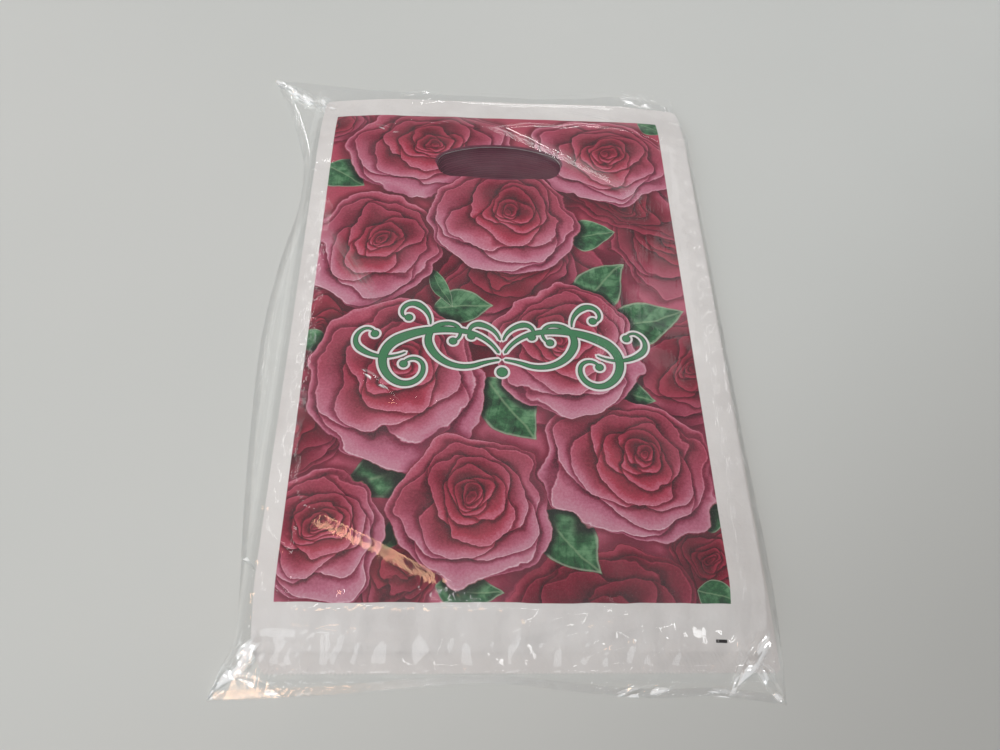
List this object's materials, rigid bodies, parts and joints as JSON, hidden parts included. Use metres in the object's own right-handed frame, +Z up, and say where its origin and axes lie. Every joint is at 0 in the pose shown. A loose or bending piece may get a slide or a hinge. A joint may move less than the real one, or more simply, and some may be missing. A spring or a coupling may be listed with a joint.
{
  "type": "gift bag pack",
  "caption": "Flat pack of rose-printed film gift bags with die-cut hand slots, stacked in a clear film sleeve; each bag slides out of the open end.",
  "frame": {"origin": "centre of the sleeve's footprint, on the surface the pack lies on", "axes": "+X across the pack, +Y along the bags towards their hand slots and the sleeve's open end, +Z up through the stack"},
  "size_m": [0.232, 0.338, 0.0126],
  "materials": {
    "clear_film": "clear, glossy, crinkled film",
    "clear_weld": "clear film, pressed weld",
    "printed_film": "white film with a printed rose pattern, soft satin",
    "white_film": "white film, soft satin, slightly rippled"
  },
  "bodies": {
    "wrap": {"wrap_lower_film": "clear_film", "wrap_top_film": "clear_film", "wrap_left_film": "clear_film", "wrap_right_film": "clear_film", "wrap_end_film": "clear_film", "wrap_end_weld": "clear_weld"},
    "bag_01": {"top_bag_front_panel": "printed_film", "top_bag_back_panel": "white_film", "top_bag_left_weld": "white_film", "top_bag_right_weld": "white_film", "top_bag_bottom_weld": "white_film"},
    "bag_02": {"bag_02": "printed_film"},
    "bag_03": {"bag_03": "printed_film"},
    "bag_04": {"bag_04": "printed_film"},
    "bag_05": {"bag_05": "printed_film"},
    "bag_06": {"bag_06": "printed_film"},
    "bag_07": {"bag_07": "printed_film"},
    "bag_08": {"bag_08": "printed_film"},
    "bag_09": {"bag_09": "printed_film"},
    "bag_10": {"bag_10": "printed_film"},
    "bag_11": {"bag_11": "printed_film"},
    "bag_12": {"bag_12": "printed_film"},
    "bag_13": {"bag_13": "printed_film"},
    "bag_14": {"bag_14": "printed_film"},
    "bag_15": {"bag_15": "printed_film"},
    "bag_16": {"bag_16": "printed_film"},
    "bag_17": {"bag_17": "printed_film"},
    "bag_18": {"bag_18": "printed_film"},
    "bag_19": {"bag_19": "printed_film"},
    "bag_20": {"bag_20": "printed_film"}
  },
  "joints": [
    {"name": "bag_01_slide", "type": "slide", "parent": "wrap", "child": "bag_01", "axis": [0, 1, 0], "range_m": [0, 0.33]},
    {"name": "bag_02_slide", "type": "slide", "parent": "wrap", "child": "bag_02", "axis": [0, 1, 0], "range_m": [0, 0.33]},
    {"name": "bag_03_slide", "type": "slide", "parent": "wrap", "child": "bag_03", "axis": [0, 1, 0], "range_m": [0, 0.33]},
    {"name": "bag_04_slide", "type": "slide", "parent": "wrap", "child": "bag_04", "axis": [0, 1, 0], "range_m": [0, 0.33]},
    {"name": "bag_05_slide", "type": "slide", "parent": "wrap", "child": "bag_05", "axis": [0, 1, 0], "range_m": [0, 0.33]},
    {"name": "bag_06_slide", "type": "slide", "parent": "wrap", "child": "bag_06", "axis": [0, 1, 0], "range_m": [0, 0.33]},
    {"name": "bag_07_slide", "type": "slide", "parent": "wrap", "child": "bag_07", "axis": [0, 1, 0], "range_m": [0, 0.33]},
    {"name": "bag_08_slide", "type": "slide", "parent": "wrap", "child": "bag_08", "axis": [0, 1, 0], "range_m": [0, 0.33]},
    {"name": "bag_09_slide", "type": "slide", "parent": "wrap", "child": "bag_09", "axis": [0, 1, 0], "range_m": [0, 0.33]},
    {"name": "bag_10_slide", "type": "slide", "parent": "wrap", "child": "bag_10", "axis": [0, 1, 0], "range_m": [0, 0.33]},
    {"name": "bag_11_slide", "type": "slide", "parent": "wrap", "child": "bag_11", "axis": [0, 1, 0], "range_m": [0, 0.33]},
    {"name": "bag_12_slide", "type": "slide", "parent": "wrap", "child": "bag_12", "axis": [0, 1, 0], "range_m": [0, 0.33]},
    {"name": "bag_13_slide", "type": "slide", "parent": "wrap", "child": "bag_13", "axis": [0, 1, 0], "range_m": [0, 0.33]},
    {"name": "bag_14_slide", "type": "slide", "parent": "wrap", "child": "bag_14", "axis": [0, 1, 0], "range_m": [0, 0.33]},
    {"name": "bag_15_slide", "type": "slide", "parent": "wrap", "child": "bag_15", "axis": [0, 1, 0], "range_m": [0, 0.33]},
    {"name": "bag_16_slide", "type": "slide", "parent": "wrap", "child": "bag_16", "axis": [0, 1, 0], "range_m": [0, 0.33]},
    {"name": "bag_17_slide", "type": "slide", "parent": "wrap", "child": "bag_17", "axis": [0, 1, 0], "range_m": [0, 0.33]},
    {"name": "bag_18_slide", "type": "slide", "parent": "wrap", "child": "bag_18", "axis": [0, 1, 0], "range_m": [0, 0.33]},
    {"name": "bag_19_slide", "type": "slide", "parent": "wrap", "child": "bag_19", "axis": [0, 1, 0], "range_m": [0, 0.33]},
    {"name": "bag_20_slide", "type": "slide", "parent": "wrap", "child": "bag_20", "axis": [0, 1, 0], "range_m": [0, 0.33]}
  ]
}
